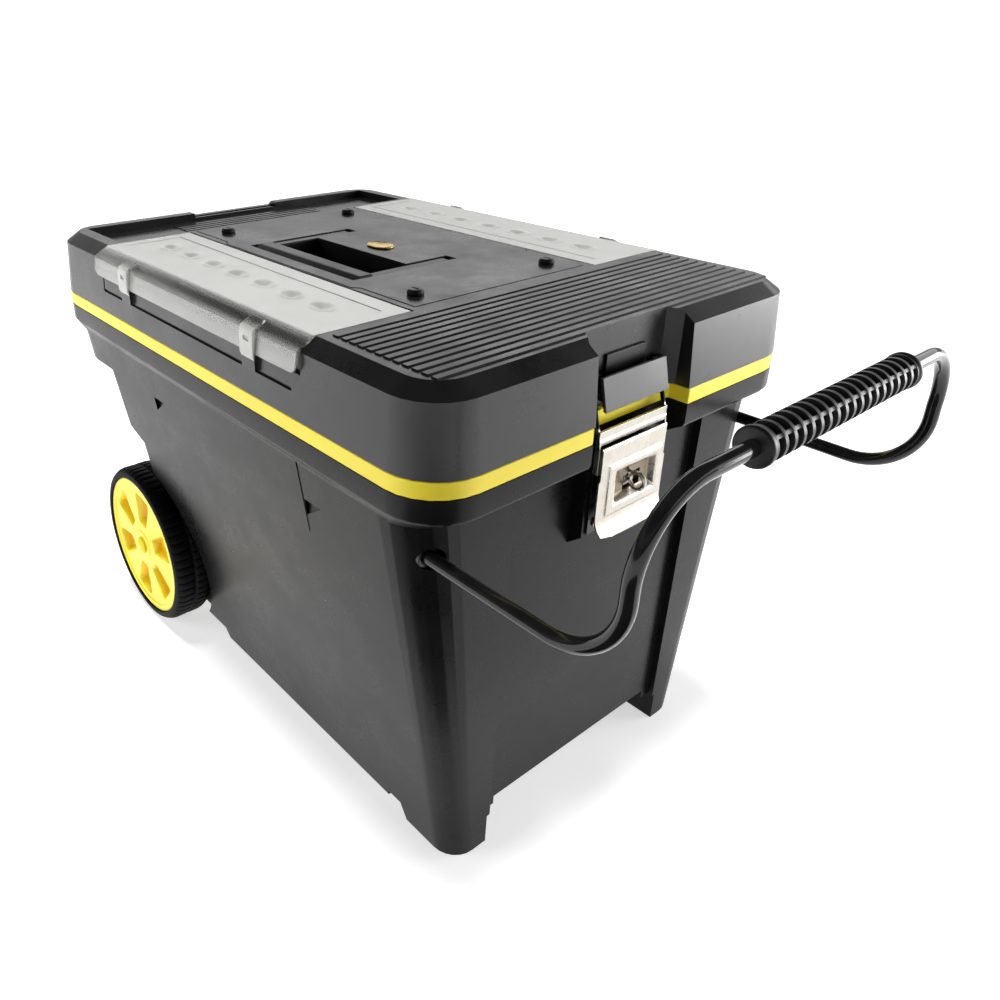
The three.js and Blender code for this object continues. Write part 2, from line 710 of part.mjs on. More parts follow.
function latchLever() {
  const { half, plateX, pinX, leverZ, bailPinX, bailZ } = LATCH;
  const outside = [[1.6, 339.4], [2, 338.4], [2.4, 300], [2.2, 282], [4, 275], [8.6, 269]];
  const inside = [[7.4, 267.4], [2, 273.4], [0, 282], [0, 300], [0, 339.4]];
  const section = [...outside, ...inside];
  const sheet = sideProfile(section.map(([x, z]) => [plateX + x, z]), -half, half);
  const raised = box(plateX + 1, plateX + 3.8, -30, 34, 283, 325);
  const lugs = [-1, 1].map((s) => box(plateX - 4.5, plateX + 0.5, ...span(s, 35, 36.5), 318.2, 337.6));
  const shoulders = [-1, 1].map((s) => box(270, 300, ...span(s, 36.5, 50), 315, 345));
  const flare = [[half, 283], [half - 3.4, 262], [50, 262], [50, 283]];
  const trims = [-1, 1].map((s) => prism("x", flare.map(([y, z]) => [s * y, z]), 270, 300));
  const centres = [[pinX, leverZ], [bailPinX, bailZ]];
  const bore = (centre, s) => rod("y", centre, 1.8, ...span(s, 34, 37.5), 16);
  const bores = [-1, 1].flatMap((s) => centres.map((centre) => bore(centre, s)));
  const window = box(260, 300, -22, 28, 290, 320);
  return cut(union([sheet, raised, ...lugs]), [window, ...shoulders, ...trims, ...bores]);
}

piece(latch, "latch_lever", "brightSteel", latchLever());
pair(latch, "lever_pin", "brightSteel", (s) =>
  rod("y", [LATCH.pinX, LATCH.leverZ], 1.5, ...span(s, 32.4, 36.6), 16));
pair(latch, "bail_pin", "brightSteel", (s) =>
  rod("y", [LATCH.bailPinX, LATCH.bailZ], 1.5, ...span(s, 34.4, 38.6), 16));

// A plate held by two side arms: pivots at their foot, hooks turned inwards at their head.
function latchBail() {
  const { bailX, bailPinX, bailZ } = LATCH;
  const armSpan = [36.8, 38.3];
  const plate = sideProfile([[bailX, 341], [bailX + 2, 341], [bailX + 2.4, 344.4], [bailX + 1.6, 346],
    [bailX + 2, 352], [bailX, 352]], -armSpan[1], armSpan[1]);
  const arm = [[bailPinX - 2, bailZ - 2.8], [bailPinX + 2, bailZ - 2.8], [bailPinX + 2, 338],
    [bailX + 2, 346], [272.6, 388.4], [269.6, 388.4], [269.6, 385], [bailX - 1.4, 348], [bailPinX - 2, 338]];
  const arms = [-1, 1].map((s) => sideProfile(arm, ...span(s, ...armSpan)));
  const hooks = [-1, 1].map((s) => box(269.6, 272.6, ...span(s, 25, 37), 385.2, 388.4));
  const bores = [-1, 1].map((s) => rod("y", [bailPinX, bailZ], 1.8, ...span(s, 36, 39), 16));
  return cut(union([plate, ...arms, ...hooks]), bores);
}

piece(latch, "latch_bail", "brightSteel", latchBail());

// ---- pull handle ----------------------------------------------------------------------------
function pullTube() {
  const { y, z, bendX, bend, riserTop, tube, inner } = PULL;
  const lower = arc(7, (a) => [bendX + bend * Math.sin(a), -y, z + bend * (1 - Math.cos(a))]);
  const lean = GRIP.x - bendX - bend;
  const rise = GRIP.z - riserTop;
  const corner = arc(7, (a) => [
    bendX + bend + (lean * a) / (Math.PI / 2),
    -y + bend * (1 - Math.cos(a)),
    riserTop + rise * Math.sin(a),
  ]);
  const left = [[inner, -y, z], [120, -y, z], ...lower, ...corner];
  const right = left.map(([px, py, pz]) => [px, -py, pz]).reverse();
  return bar([...left, ...right], tube, 12);
}

const pull = assembly();
piece(pull, "pull_tube", "blackSteel", pullTube());

function pullGrip() {
  const grooves = 18;
  const pitch = (2 * GRIP.half - 16) / grooves;
  const profile = [[PULL.tube + GAP, -GRIP.half], [GRIP.r - 2.2, -GRIP.half], [GRIP.r, -GRIP.half + 3]];
  for (let i = 0; i < grooves; i += 1) {
    const y = -GRIP.half + 8 + i * pitch;
    profile.push([GRIP.r, y + 1.4], [GRIP.r - 2.2, y + pitch / 2], [GRIP.r, y + pitch - 1.4]);
  }
  profile.push([GRIP.r, GRIP.half - 3], [GRIP.r - 2.2, GRIP.half], [PULL.tube + GAP, GRIP.half]);
  return turned(profile, GRIP.x, GRIP.z, 16);
}

piece(pull, "pull_grip", "rubber", pullGrip());

pair(pull, "arm_bush", "blackPlastic", (s) => {
  const centre = [s * PULL.y, PULL.z];
  return cut(rod("x", centre, 8, 236, 262, 24), [rod("x", centre, PULL.tube + GAP, 230, 270, 24)]);
});

pair(pull, "arm_stop", "blackPlastic", (s) => {
  const centre = [s * PULL.y, PULL.z];
  const { inner, tube } = PULL;
  const bore = rod("x", centre, tube + GAP, inner - GAP, inner + 20, 20);
  return cut(rod("x", centre, 7.6, inner - 3, inner + 9, 20), [bore]);
});

// ---- wheels ---------------------------------------------------------------------------------
function hubBody(s) {
  const { x, z, hub, out } = WHEEL;
  const back = WHEEL.in + 2;
  const face = out - 1.5;
  const bore = WHEEL.axle + GAP;
  const inside = [[bore, back - 1], [15, back - 1], [15, back + 18], [68, back + 18], [68, back]];
  const edge = [[hub, back], [hub, face - 1.5], [hub - 1.5, face], [71, face]];
  const profile = [...inside, ...edge, [70, face - 1.2], [17, face - 1.2], [16, face], [bore, face]];
  const body = turned(profile.map(([r, y]) => [r, s * y]), x, z, 32);
  const pocket = [[-9, 27], [9, 27], [16, 60], [10, 65], [-10, 65], [-16, 60]];
  const pockets = Array.from({ length: 6 }, (_, i) => {
    const cutter = prism("z", pocket, face - 7, face + 5).rotate([90, 0, 0]);
    const placed = s < 0 ? cutter : cutter.mirror([0, 1, 0]);
    return placed.rotate([0, i * 60 + 12, 0]).translate([x, 0, z]);
  });
  return cut(body, pockets);
}

function tyreBody(s) {
  const { x, z, r, hub, out } = WHEEL;
  const a = WHEEL.in;
  const middle = (a + out) / 2;
  const profile = [[hub + GAP, a], [r - 3, a], [r, a + 4], [r, middle - 2], [r - 1.8, middle - 1.2],
    [r - 1.8, middle + 1.2], [r, middle + 2], [r, out - 4], [r - 3, out], [hub + GAP, out]];
  return turned(profile.map(([rr, y]) => [rr, s * y]), x, z, 44);
}

const wheels = assembly();
const axle = rod("y", [WHEEL.x, WHEEL.z], WHEEL.axle, -(WHEEL.out + 1), WHEEL.out + 1, 24);
pair(wheels, "wheel_hub", "yellowPlastic", hubBody);
pair(wheels, "tyre", "rubber", tyreBody);
piece(wheels, "axle", "brightSteel", axle);
pair(wheels, "axle_cap", "yellowPlastic", (s) => {
  const y = WHEEL.out;
  const bore = WHEEL.axle + 0.4;
  const profile = [[0, y + 1.3], [bore, y + 1.3], [bore, y - 1.1], [9.4, y - 1.1], [9.4, y + 1], [6, y + 3.4],
    [0, y + 3.8]];
  return turned(profile.map(([r, yy]) => [r, s * yy]), WHEEL.x, WHEEL.z, 16);
});

// ---- lift-out tray --------------------------------------------------------------------------
function tray() {
  const bucketShift = [14, 0, 0];
  const outer = [{ hx: 194, hy: 136, r: 18, z: 262 }, { hx: 204, hy: 146, r: 22, z: 322 }];
  const wall = 2.6;
  const bucket = loft(outer).translate(bucketShift);
  const rim = loft([{ hx: 256, hy: 158, r: 30, z: 318.3 }, { hx: 256, hy: 158, r: 30, z: 322 }]);
  const hollow = loft([
    { ...inset(outer[0], wall), z: outer[0].z + wall },
    { ...inset(outer[1], wall), z: 330 },
  ]).translate(bucketShift);
  const within = loft([outer[0], { ...outer[1], z: 344 }]).translate(bucketShift);
  const bridge = prism("y", [[263, -190], [263, 218], [326, 218], [342, 84], [342, -56], [326, -190]], -2, 2);
  const hold = box(-34, 62, -5, 5, 316, 332);
  const shell = union([bucket, rim]).subtract(hollow);
  return union([shell, bridge.intersect(within).subtract(hold)]);
}

piece(assembly(), "tool_tray", "trayPlastic", tray());

export default chest;
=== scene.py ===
"""Studio scene of a wheeled tool chest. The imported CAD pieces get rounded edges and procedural
finishes. The tyres, hubs, pull tube, grip, bin covers, latch lever and badge are finer pieces,
built here in the CAD pieces' places. Their numbers are millimetres, with x forward from the
middle of the chest, y from its left to its right and z up from the floor."""
import json
import math

import bmesh
import bpy
from mathutils import Matrix, Vector

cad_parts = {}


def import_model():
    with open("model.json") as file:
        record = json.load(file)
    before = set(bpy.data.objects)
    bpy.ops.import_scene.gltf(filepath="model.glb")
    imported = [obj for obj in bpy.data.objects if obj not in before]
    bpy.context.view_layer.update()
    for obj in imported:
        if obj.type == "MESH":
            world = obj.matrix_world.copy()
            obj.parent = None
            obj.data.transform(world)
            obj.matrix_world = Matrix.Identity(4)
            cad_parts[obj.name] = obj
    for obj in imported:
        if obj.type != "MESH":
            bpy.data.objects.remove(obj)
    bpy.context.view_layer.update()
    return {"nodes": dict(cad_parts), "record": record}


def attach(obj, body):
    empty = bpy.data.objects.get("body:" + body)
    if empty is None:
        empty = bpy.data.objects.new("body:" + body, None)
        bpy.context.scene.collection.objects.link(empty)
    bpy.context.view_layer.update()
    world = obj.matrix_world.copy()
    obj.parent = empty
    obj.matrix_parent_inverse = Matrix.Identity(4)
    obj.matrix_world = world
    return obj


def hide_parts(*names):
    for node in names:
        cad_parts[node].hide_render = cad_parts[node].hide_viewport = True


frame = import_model()

MM = 0.001
SHIFT_X = -61.0  # the chest is drawn 61 mm ahead of the part's frame
BODY_OF = {node: body for body, nodes in frame["record"]["behaviour"]["bodies"].items() for node in nodes}
SLOT_OF = {part["node"]: part["material_slot"] for part in frame["record"]["subparts"]}


def add_object(name, data):
    thing = bpy.data.objects.new(name, data)
    bpy.context.scene.collection.objects.link(thing)
    return thing


def side_name(side):
    """The word for a side: -1 is left and 1 is right."""
    return "left" if side < 0 else "right"


# ---- materials ----------------------------------------------------------------------------
def grey(value):
    return (value, value, value)


def new_material(name):
    material = bpy.data.materials.new(name)
    material.use_nodes = True
    nodes = material.node_tree.nodes
    return material, nodes, material.node_tree.links, nodes["Principled BSDF"]


def noise(nodes, links, where, scale, detail=3.0, roughness=0.55):
    texture = nodes.new("ShaderNodeTexNoise")
    texture.inputs["Scale"].default_value = scale
    texture.inputs["Detail"].default_value = detail
    texture.inputs["Roughness"].default_value = roughness
    links.new(where.outputs["Object"], texture.inputs["Vector"])
    return texture.outputs["Fac"]


def ramp(nodes, links, factor, stops):
    node = nodes.new("ShaderNodeValToRGB")
    elements = node.color_ramp.elements
    while len(elements) < len(stops):
        elements.new(0.5)
    for element, (position, colour) in zip(elements, stops):
        element.position = position
        element.color = (*colour, 1.0)
    links.new(factor, node.inputs["Fac"])
    return node.outputs["Color"]


def span(nodes, links, factor, low, high, start=0.3, end=0.7):
    """The factor mapped to a range of values."""
    node = nodes.new("ShaderNodeMapRange")
    node.inputs["From Min"].default_value = start
    node.inputs["From Max"].default_value = end
    node.inputs["To Min"].default_value = low
    node.inputs["To Max"].default_value = high
    links.new(factor, node.inputs["Value"])
    return node.outputs["Result"]


def bump(nodes, links, height, strength, distance, below=None):
    node = nodes.new("ShaderNodeBump")
    node.inputs["Strength"].default_value = strength
    node.inputs["Distance"].default_value = distance
    links.new(height, node.inputs["Height"])
    if below is not None:
        links.new(below, node.inputs["Normal"])
    return node.outputs["Normal"]


def plastic(name, dark, light, rough, grain=900.0, grain_strength=0.14, wear=0.05, shine=0.5):
    """Moulded plastic: slow colour drift, fine grain, and duller or shinier patches."""
    material, nodes, links, shader = new_material(name)
    where = nodes.new("ShaderNodeTexCoord")
    drift = noise(nodes, links, where, 7.0, 5.0)
    links.new(ramp(nodes, links, drift, [(0.35, dark), (0.68, light)]), shader.inputs["Base Color"])
    patches = noise(nodes, links, where, 22.0, 6.0, 0.65)
    links.new(span(nodes, links, patches, rough - wear, rough + wear), shader.inputs["Roughness"])
    fine = noise(nodes, links, where, grain, 2.0)
    broad = noise(nodes, links, where, 30.0, 2.0)
    soft = bump(nodes, links, broad, 0.08, 0.0012)
    links.new(bump(nodes, links, fine, grain_strength, 0.00012, soft), shader.inputs["Normal"])
    shader.inputs["Specular IOR Level"].default_value = shine
    return material


def metal(name, dark, light, rough):
    """Plated sheet metal with faint brush lines and handling marks."""
    material, nodes, links, shader = new_material(name)
    where = nodes.new("ShaderNodeTexCoord")
    stretch = nodes.new("ShaderNodeMapping")
    stretch.inputs["Scale"].default_value = (60.0, 900.0, 60.0)
    links.new(where.outputs["Object"], stretch.inputs["Vector"])
    lines = nodes.new("ShaderNodeTexNoise")
    lines.inputs["Scale"].default_value = 1.0
    lines.inputs["Detail"].default_value = 4.0
    links.new(stretch.outputs["Vector"], lines.inputs["Vector"])
    marks = noise(nodes, links, where, 90.0, 5.0)
    links.new(ramp(nodes, links, marks, [(0.3, dark), (0.62, light)]), shader.inputs["Base Color"])
    links.new(span(nodes, links, marks, rough * 0.75, rough * 1.35), shader.inputs["Roughness"])
    links.new(bump(nodes, links, lines.outputs["Fac"], 0.12, 0.0001), shader.inputs["Normal"])
    shader.inputs["Metallic"].default_value = 1.0
    return material


def clear_plastic():
    """Clear polycarbonate, frosted on its flat top and lip and left smooth along the sloping strip."""
    material, nodes, links, shader = new_material("frosted_cover")
    where = nodes.new("ShaderNodeTexCoord")
    cloud = noise(nodes, links, where, 14.0, 4.0)
    tint = ramp(nodes, links, cloud, [(0.3, (0.76, 0.76, 0.725)), (0.7, (0.85, 0.85, 0.81))])
    links.new(tint, shader.inputs["Base Color"])
    fine = noise(nodes, links, where, 260.0, 2.0)
    links.new(bump(nodes, links, fine, 0.1, 0.0002), shader.inputs["Normal"])
    split = nodes.new("ShaderNodeSeparateXYZ")
    links.new(where.outputs["Object"], split.inputs["Vector"])
    side = nodes.new("ShaderNodeMath")
    side.operation = "ABSOLUTE"
    links.new(split.outputs["Y"], side.inputs[0])
    strip = ramp(nodes, links, side.outputs["Value"], [
        (0.1860, grey(0.0)), (0.1885, grey(1.0)), (0.1985, grey(1.0)), (0.2005, grey(0.0))])
    links.new(span(nodes, links, strip, 0.24, 0.10, 0.0, 1.0), shader.inputs["Roughness"])
    links.new(span(nodes, links, strip, 0.48, 0.97, 0.0, 1.0), shader.inputs["Transmission Weight"])
    shader.inputs["IOR"].default_value = 1.45
    return material


def painted_steel():
    """Gloss black paint, with a clear coat over a slightly uneven surface."""
    material, nodes, links, shader = new_material("gloss_black_steel")
    where = nodes.new("ShaderNodeTexCoord")
    cloud = noise(nodes, links, where, 40.0, 5.0)
    tint = ramp(nodes, links, cloud, [(0.35, grey(0.006)), (0.7, grey(0.013))])
    links.new(tint, shader.inputs["Base Color"])
    links.new(span(nodes, links, cloud, 0.1, 0.22), shader.inputs["Roughness"])
    peel = noise(nodes, links, where, 320.0, 2.0)
    links.new(bump(nodes, links, peel, 0.08, 0.0002), shader.inputs["Normal"])
    shader.inputs["Specular IOR Level"].default_value = 0.15
    shader.inputs["Coat Weight"].default_value = 0.45
    shader.inputs["Coat Roughness"].default_value = 0.08
    shader.inputs["Coat IOR"].default_value = 1.5
    return material


def paint_shade_behind(material, axis, edge, soft, above=False, shade_tone=grey(0.002)):
    """Painted shade: a finish gets a darker colour below a plane on the X, Y or Z axis, or above it,
    for the shade on surfaces set back in hollows or under other parts. The edge and the softness of the
    change are in metres."""
    nodes, links = material.node_tree.nodes, material.node_tree.links
    shader = nodes["Principled BSDF"]
    where = nodes.new("ShaderNodeTexCoord")
    split = nodes.new("ShaderNodeSeparateXYZ")
    links.new(where.outputs["Object"], split.inputs["Vector"])
    low, high = (1.0, 0.0) if above else (0.0, 1.0)
    # mask of the painted shade: 1 keeps the finish's own colour, 0 gives the shade colour
    unshaded = span(nodes, links, split.outputs[axis], low, high, edge - soft, edge + soft)
    mix = nodes.new("ShaderNodeMix")
    mix.data_type = "RGBA"
    links.new(unshaded, mix.inputs["Factor"])
    mix.inputs["A"].default_value = (*shade_tone, 1.0)
    colour = shader.inputs["Base Color"].links[0].from_socket
    links.new(colour, mix.inputs["B"])
    links.new(mix.outputs["Result"], shader.inputs["Base Color"])
    return material


NICKEL = {"dark": (0.47, 0.432, 0.378), "light": (0.54, 0.505, 0.452), "rough": 0.27}

FINISH = {
    "shell_plastic": plastic(
        "shell_plastic", (0.005, 0.0051, 0.0051), (0.010, 0.0101, 0.0101), 0.29, shine=0.145),
    "black_plastic": plastic("black_plastic", grey(0.005), grey(0.010), 0.34),
    "yellow_plastic": plastic(
        "yellow_plastic", (0.90, 0.72, 0.022), (0.97, 0.83, 0.045), 0.38, 500.0, 0.1),
    "cover_plastic": clear_plastic(),
    "tray_plastic": plastic("tray_plastic", (0.024, 0.024, 0.025), (0.034, 0.034, 0.035), 0.45),
    "black_steel": painted_steel(),
    "bright_steel": metal("nickel_plate", **NICKEL),
    "grip_rubber": plastic("grip_rubber", grey(0.003), grey(0.007), 0.40, 700.0, 0.2, shine=0.42),
    "tyre_rubber": plastic("tyre_rubber", grey(0.002), grey(0.004), 0.6, 500.0, 0.4, shine=0.12),
    "gold_badge": metal("gold_badge", (0.55, 0.36, 0.08), (0.80, 0.57, 0.17), 0.28),
}


def own_finishes():
    """Finishes of single nodes that differ from the rest of their slot. The keeper, bail, lever and hub
    finishes have painted shade in them.
    """
    lid = plastic("lid_plastic", (0.006, 0.0061, 0.0062), (0.014, 0.0142, 0.0143), 0.30, wear=0.07)
    keeper = plastic("keeper_plastic", grey(0.02), grey(0.032), 0.33, shine=0.36)
    bail = metal("bail_plate", **NICKEL)
    pressed = metal("lever_plate", **NICKEL)
    own = {
        "lid_shell": lid,
        "top_plate": lid,
        # painted shade: the keeper is painted near black behind x = 0.2115 m, where it sits back in the lid's
        # notch
        "latch_keeper": paint_shade_behind(keeper, "X", 0.2115, 0.0004),
        # painted shade: the bail's upper end, above z = 0.3535 m, is painted near black
        "latch_bail": paint_shade_behind(bail, "Z", 0.3535, 0.001, above=True),
        # painted shade: the lever is painted dark brown behind x = 0.2240 m, in its sunk dish round the
        # padlock eye
        "latch_lever": paint_shade_behind(pressed, "X", 0.2240, 0.0010, shade_tone=(0.20, 0.165, 0.12)),
    }
    for side in (-1, 1):
        name = side_name(side)
        yellow = plastic(
            "hub_plastic_" + name, (0.92, 0.74, 0.024), (0.98, 0.85, 0.048), 0.36, 500.0, 0.1)
        # painted shade: each hub is painted a deeper orange beyond y = ±0.1822 m, in its sunk pockets
        own["wheel_hub_" + name] = paint_shade_behind(
            yellow, "Y", side * 0.1822, 0.0022, above=side < 0, shade_tone=(0.93, 0.60, 0.012))
    return own


OWN_FINISH = own_finishes()


# ---- meshes -------------------------------------------------------------------------------
def mesh_piece(name, points, faces):
    """A smooth mesh from points in millimetres."""
    mesh = bpy.data.meshes.new(name)
    mesh.from_pydata([((x + SHIFT_X) * MM, y * MM, z * MM) for x, y, z in points], [], faces)
    mesh.validate()
    bm = bmesh.new()
    bm.from_mesh(mesh)
    bmesh.ops.recalc_face_normals(bm, faces=bm.faces)
    bm.to_mesh(mesh)
    bm.free()
    mesh.polygons.foreach_set("use_smooth", [True] * len(mesh.polygons))
    return add_object(name, mesh)


def stand_for(piece, *nodes):
    """The piece takes the body, finish and place of these CAD nodes."""
    slot = SLOT_OF[nodes[0]]
    piece.data.materials.clear()
    piece.data.materials.append(OWN_FINISH.get(nodes[0], FINISH[slot]))
    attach(piece, BODY_OF[nodes[0]])
    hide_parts(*nodes)
    return piece


def round_edges(piece, width, segments):
    """Rounds the edges that turn by more than 28 degrees. The width is in millimetres."""
    bevel = piece.modifiers.new("rounded_edges", "BEVEL")
    bevel.width = width * MM
    bevel.segments = segments
    bevel.limit_method = "ANGLE"
    bevel.angle_limit = math.radians(28.0)
    bevel.miter_outer = "MITER_ARC"
    bevel.use_clamp_overlap = True
    bevel.harden_normals = False
    even = piece.modifiers.new("even_shading", "WEIGHTED_NORMAL")
    even.keep_sharp = True
    even.weight = 50


def refine(node, width, segments):
    """A copy of a CAD node's mesh with its edges rounded. Faces with more than four corners are cut
    into triangles first, so that no rounded face folds over itself."""
    bm = bmesh.new()
    bm.from_mesh(frame["nodes"][node].data)
    bmesh.ops.remove_doubles(bm, verts=bm.verts, dist=1e-5)
    bmesh.ops.dissolve_limit(
        bm, angle_limit=math.radians(0.6), verts=bm.verts, edges=bm.edges, use_dissolve_boundaries=False)
    bmesh.ops.triangulate(bm, faces=[face for face in bm.faces if len(face.verts) > 4])
    mesh = bpy.data.meshes.new(node + "_shape")
    bm.to_mesh(mesh)
    bm.free()
    mesh.polygons.foreach_set("use_smooth", [True] * len(mesh.polygons))
    piece = add_object(node + "_refined", mesh)
    round_edges(piece, width, segments)
    return stand_for(piece, node)


def loft_rings(name, rings, closed=False):
    """A skin over rings that all have the same number of points. Closed joins the last ring to the
    first one. Otherwise the first and last rings are filled."""
    count = len(rings[0])
    points = [p for ring in rings for p in ring]
    faces = []
    for k in range(len(rings) if closed else len(rings) - 1):
        a = k * count
        b = ((k + 1) % len(rings)) * count
        for i in range(count):
            j = (i + 1) % count
            faces.append((a + i, a + j, b + j, b + i))
    if not closed:
        faces.append(tuple(range(count)))
        faces.append(tuple((len(rings) - 1) * count + i for i in range(count)))
    return mesh_piece(name, points, faces)


def turned(name, profile, centre, steps, shape):
    """A closed profile of (radius, y) turned about the Y axis through centre = (x, z).
    shape(index, step, radius, y) changes each (radius, y) by its place."""
    x, z = centre
    rings = []
    for k in range(steps):
        angle = 2 * math.pi * k / steps
        ring = []
        for i, (r, y) in enumerate(profile):
            r, y = shape(i, k, r, y)
            ring.append((x + r * math.cos(angle), y, z + r * math.sin(angle)))
        rings.append(ring)
    return loft_rings(name, rings, closed=True)


def smooth_step(low, high, value):
    """0 below the low value, 1 above the high one, and an S-shaped rise between them."""
    t = min(max((value - low) / (high - low), 0.0), 1.0)
    return t * t * (3 - 2 * t)


def between(points, value):
    """Straight interpolation through (position, height) pairs."""
    for (a, u), (b, v) in zip(points, points[1:]):
        if value <= b:
            return u + (v - u) * max(value - a, 0.0) / (b - a)
    return points[-1][1]


def stations(low, high, step, extra=()):
    """Even places from low to high, about a step apart, with some extra ones among them."""
    count = round((high - low) / step)
    return sorted({round(low + (high - low) * i / count, 3) for i in range(count + 1)} | set(extra))


def mirror_y(piece):
    """Turns a right piece into a left one."""
    bm = bmesh.new()
    bm.from_mesh(piece.data)
    for vertex in bm.verts:
        vertex.co.y = -vertex.co.y
    bmesh.ops.recalc_face_normals(bm, faces=bm.faces)
    bm.to_mesh(piece.data)
    bm.free()


def walled_grid(name, front, back, skip=None):
    """A thin solid between two grids of points with the same rows and columns.
    Cells that skip(row, column) names are left out, and every open edge gets a wall."""
    rows, columns = len(front), len(front[0])
    points = [p for row in front for p in row] + [p for row in back for p in row]
    offset = rows * columns
    cells = [
        (r * columns + c, r * columns + c + 1, (r + 1) * columns + c + 1, (r + 1) * columns + c)
        for r in range(rows - 1) for c in range(columns - 1) if not (skip and skip(r, c))
    ]
    edges = {}
    for cell in cells:
        for a, b in zip(cell, cell[1:] + cell[:1]):
            edges[frozenset((a, b))] = None if frozenset((a, b)) in edges else (a, b)
    faces = cells + [tuple(i + offset for i in reversed(cell)) for cell in cells]
    faces += [(b, a, a + offset, b + offset) for a, b in (e for e in edges.values() if e)]
    return mesh_piece(name, points, faces)


# ---- wheels -------------------------------------------------------------------------------
WHEEL = {"x": -192.5, "z": 87.5, "r": 87.5, "hub": 77.8, "inner": 148.0, "outer": 189.0}
TREAD_BLOCKS = 60
TREAD_STEPS = 8  # steps of angle for each tread block
TREAD_CUT = (0.0, 0.0, 0.0, 0.0, 0.0, 0.5, 1.5, 0.5)  # depth at each of those steps


def tyre(side):
    """A solid rubber tyre with two rows of tread blocks either side of a centre groove."""
    inner, outer, r = WHEEL["inner"], WHEEL["outer"], WHEEL["r"]
    middle = (inner + outer) / 2
    half = [(r - 0.2, 2.0), (r, 2.6), (r, 12.0), (r - 0.5, 14.6), (r - 1.4, 16.6), (r - 2.6, 18.4),
            (r - 3.6, 19.6), (r - 4.6, 20.1), (r - 5.6, 20.1), (r - 6.2, 20.5), (r - 8.6, 20.5)]
    away = [(rr, middle + off) for rr, off in half]
    towards = [(rr, middle - off) for rr, off in reversed(half)]
    groove = [(r - 2.2, middle - 1.4), (r - 2.2, middle + 1.4)]
    profile = towards + groove + away + [(WHEEL["hub"], outer), (WHEEL["hub"], inner)]
    tread_rows = {}
    for i, (rr, y) in enumerate(profile):
        if rr > r - 3 and abs(y - middle) > 1.5:
            tread_rows[i] = 0 if y < middle else TREAD_STEPS // 2

    def cut_tread(i, k, rr, y):
        if i not in tread_rows:
            return rr, y
        depth = TREAD_CUT[(k + tread_rows[i]) % TREAD_STEPS]
        return (max(rr - depth, r - 3.4) if rr > r - 3.4 else rr), y

    name = side_name(side)
    points = [(rr, side * y) for rr, y in profile]
    steps = TREAD_BLOCKS * TREAD_STEPS
    piece = turned("tyre_tread_" + name, points, (WHEEL["x"], WHEEL["z"]), steps, cut_tread)
    return stand_for(piece, "tyre_" + name)


POCKET = {"count": 6, "from": 27.0, "to": 64.0, "half": 8.5, "widening": 0.21, "corner": 2.5,
          "depth": 9.0, "slope": 4.5, "turn": 10.0}


def hub(side):
    """The wheel's centre: a raised rim and boss, and six sunk pockets with sloping walls."""
    steps = 240
    face = WHEEL["outer"] - 1.5
    field = face - 1.2
    back = WHEEL["inner"] + 2
    profile = [(6.3, back - 1), (15, back - 1), (15, back + 18), (68, back + 18), (68, back), (77.5, back),
               (77.5, face - 1.6), (77.0, face - 0.5), (76.0, face), (71.4, face), (70.6, face - 0.5),
               (70.0, field)]
    profile += [(r, field) for r in stations(17.4, 69.0, 1.5)[::-1]]
    profile += [(16.9, field + 0.3), (16.2, face - 0.2), (15.4, face), (6.3, face)]

    def sink_pockets(i, k, r, y):
        if y < field - 0.01 or r > 69.5 or r < 17.2:
            return r, y
        turn = 2 * math.pi / POCKET["count"]
        angle = (2 * math.pi * k / steps - side * math.radians(POCKET["turn"])) % turn - turn / 2
        along = r * math.cos(angle)
        across = abs(r * math.sin(angle))
        start, end = POCKET["from"], POCKET["to"]
        half = POCKET["half"] + (along - start) * POCKET["widening"]
        inside = min(along - start, end - along, half - across)
        corner = math.hypot(max(half - across, 0.0), max(end - along, 0.0))
        inside = min(inside, corner - POCKET["corner"])
        return r, y - POCKET["depth"] * smooth_step(0.0, POCKET["slope"], inside)

    name = side_name(side)
    piece = turned("wheel_hub_pocketed_" + name, profile, (WHEEL["x"], WHEEL["z"]), steps, sink_pockets)
    if side < 0:
        mirror_y(piece)
    piece.data.set_sharp_from_angle(angle=math.radians(46))
    return stand_for(piece, "wheel_hub_" + name)


for side in (-1, 1):
    tyre(side)
    hub(side)


# ---- pull handle --------------------------------------------------------------------------
PULL = {"y": 175.0, "z": 298.0, "bend_x": 361.0, "bend": 49.0, "riser": 357.0, "r": 5.0, "inner": -30.0}
GRIP = {"x": 414.0, "z": 406.0, "r": 12.0, "half": 88.0, "slots": 18, "collar": 5.0}
QUARTER = math.pi / 2


def tube_path():
    """The centre line of half the handle, from inside the chest to the grip's axis."""
    steps = 16
    line = [(PULL["inner"], -PULL["y"], PULL["z"]), (120.0, -PULL["y"], PULL["z"]),
            (300.0, -PULL["y"], PULL["z"])]
    bend = PULL["bend"]
    for i in range(steps + 1):
        a = QUARTER * i / steps
        line.append((PULL["bend_x"] + bend * math.sin(a), -PULL["y"], PULL["z"] + bend * (1 - math.cos(a))))
    lean = GRIP["x"] - PULL["bend_x"] - bend
    for i in range(steps + 1):
        a = QUARTER * i / steps
        line.append((
            PULL["bend_x"] + bend + lean * i / steps,
            -PULL["y"] + bend * (1 - math.cos(a)),
            PULL["riser"] + (GRIP["z"] - PULL["riser"]) * math.sin(a),
        ))
    return line


